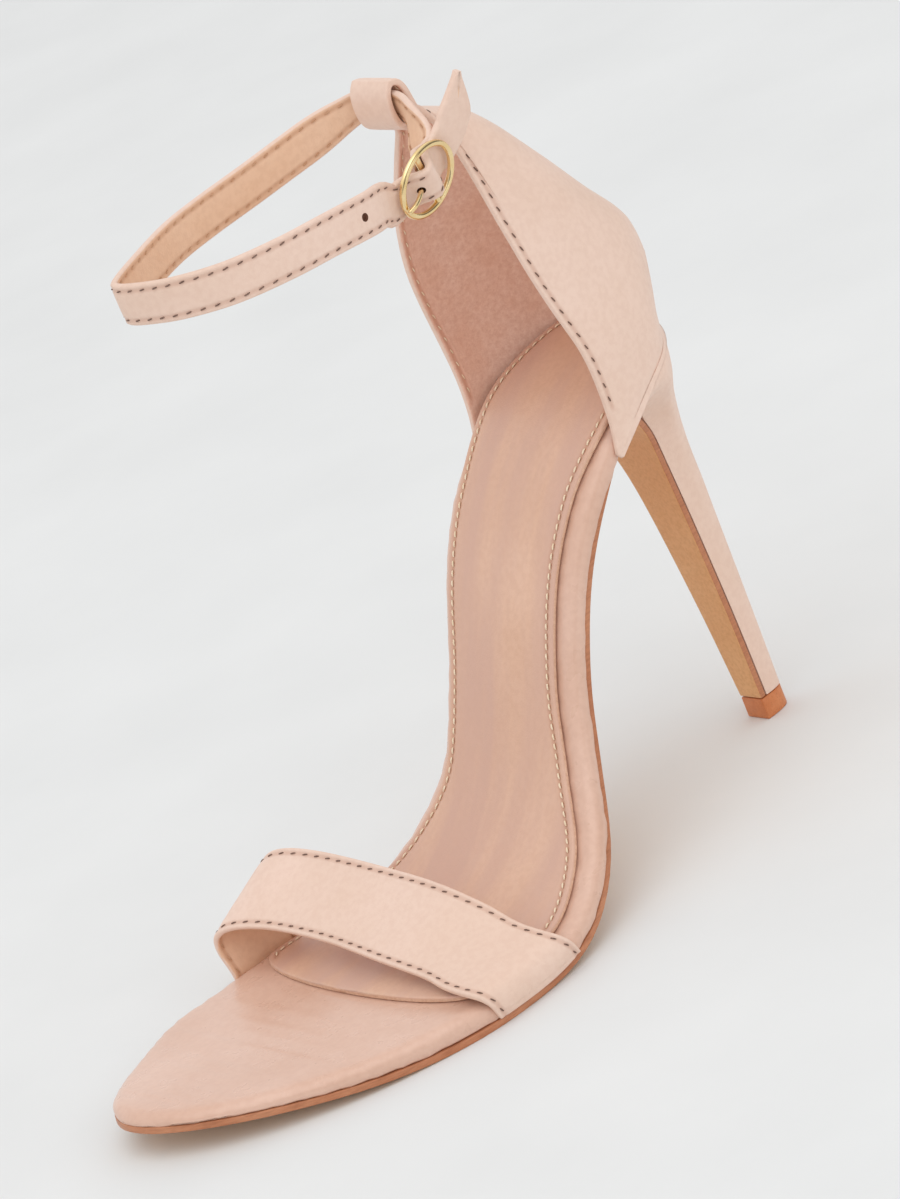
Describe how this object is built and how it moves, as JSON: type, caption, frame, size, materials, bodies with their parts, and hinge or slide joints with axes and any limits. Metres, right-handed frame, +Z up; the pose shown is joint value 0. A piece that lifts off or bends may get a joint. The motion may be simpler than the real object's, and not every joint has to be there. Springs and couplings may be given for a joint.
{
  "type": "strappy heeled sandal",
  "caption": "Left high-heeled sandal: open toe under a toe strap, closed heel counter with a tab, buckled ankle strap, covered stiletto heel.",
  "frame": {"origin": "centre of the heel tip's ground face", "axes": "+X towards the toe, +Y towards the wearer's left, which is the outer side of this left shoe, +Z up"},
  "size_m": [0.1993, 0.0881, 0.1801],
  "materials": {
    "nude_leather": "smooth, soft sheen",
    "insole_leather": "smooth, a little glossier",
    "sock_leather": "smooth, soft sheen",
    "outsole_tan": "flat, with a dark stained edge",
    "tip_rubber": "hard rubber-like plastic",
    "pale_gold": "polished pale gold plating"
  },
  "bodies": {
    "root": {"insole": "insole_leather", "insole_sock": "sock_leather", "outsole": "outsole_tan", "heel": "nude_leather", "heel_tip": "tip_rubber", "counter": "nude_leather", "toe_strap": "nude_leather", "ankle_strap": "nude_leather", "buckle_frame": "pale_gold", "buckle_prong": "pale_gold"}
  },
  "joints": []
}
